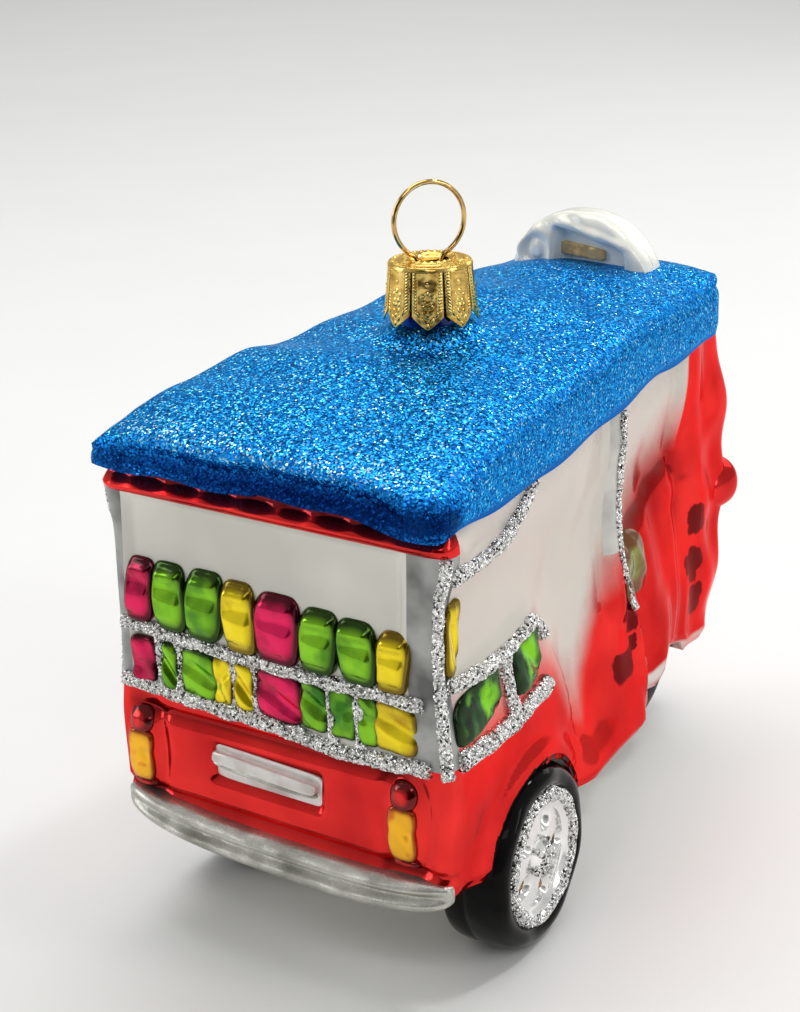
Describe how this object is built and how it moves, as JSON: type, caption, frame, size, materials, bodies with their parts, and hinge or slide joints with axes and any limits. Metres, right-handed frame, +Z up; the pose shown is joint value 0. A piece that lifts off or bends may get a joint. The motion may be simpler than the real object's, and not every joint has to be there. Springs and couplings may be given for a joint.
{
  "type": "glass tree ornament",
  "caption": "Hanging blown-glass tree ornament shaped as a three-wheeled auto rickshaw, with a glitter canopy, a crown cap and a wire hanger.",
  "frame": {"origin": "on the ground below the middle of the ornament's overall box, standing on its three moulded wheels", "axes": "+Z up, +Y towards the front of the vehicle, +X towards the vehicle's right side"},
  "size_m": [0.0568, 0.104, 0.1001],
  "materials": {
    "candy_red": "transparent red lacquer over silvered blown glass, glossy",
    "pearl": "unlacquered silvered glass with a satin pearl coat",
    "glitter_blue": "blue lacquer strewn with fine blue glitter",
    "glitter_silver": "line of glue strewn with coarse silver glitter",
    "silver_paint": "matte silver-grey paint",
    "lacquer_green": "transparent green lacquer over silver",
    "lacquer_yellow": "transparent yellow lacquer over silver",
    "lacquer_magenta": "transparent magenta lacquer over silver",
    "lacquer_amber": "transparent amber lacquer over silver",
    "lacquer_black": "gloss black lacquer",
    "silvered": "bare silvered glass, mirror bright",
    "gold_cap": "gold-washed pressed brass"
  },
  "bodies": {
    "glass": {"side_windows": "pearl", "lower_sides": "candy_red", "mid_posts": "silver_paint", "rear_posts": "silver_paint", "rear_window": "pearl", "rear_header": "candy_red", "rear_panel": "candy_red", "number_plate": "silvered", "rear_bumper": "silver_paint", "rear_rail": "glitter_silver", "rolls_magenta": "lacquer_magenta", "rolls_green": "lacquer_green", "rolls_yellow": "lacquer_yellow", "tail_lamps_red": "candy_red", "tail_lamps_amber": "lacquer_amber", "side_glitter": "glitter_silver", "post_glitter": "glitter_silver", "wheel_arches": "candy_red", "wheel_wells": "lacquer_black", "sill_flares": "candy_red", "rear_tyres": "lacquer_black", "rear_hubs": "silvered", "hub_glitter": "glitter_silver", "front_tyre": "lacquer_black", "front_hubs": "silvered", "floor_pan": "pearl", "front_cowl": "candy_red", "front_pillars": "candy_red", "windscreen": "pearl", "windscreen_trim": "glitter_silver", "headlamp_housings": "candy_red", "headlamp_lenses": "silvered", "grille": "silver_paint", "indicators": "lacquer_amber", "canopy": "glitter_blue", "roof_sign": "pearl", "sign_panel": "lacquer_yellow", "glass_neck": "silvered"},
    "cap": {"cap": "gold_cap"},
    "hanger": {"hanger_wire": "gold_cap"}
  },
  "joints": [
    {"name": "cap_lift", "type": "slide", "parent": "glass", "child": "cap", "axis": [0, 0, 1], "range_m": [0, 0.03]},
    {"name": "hanger_slide", "type": "slide", "parent": "cap", "child": "hanger", "axis": [0, 0, 1], "range_m": [0, 0.003]}
  ]
}
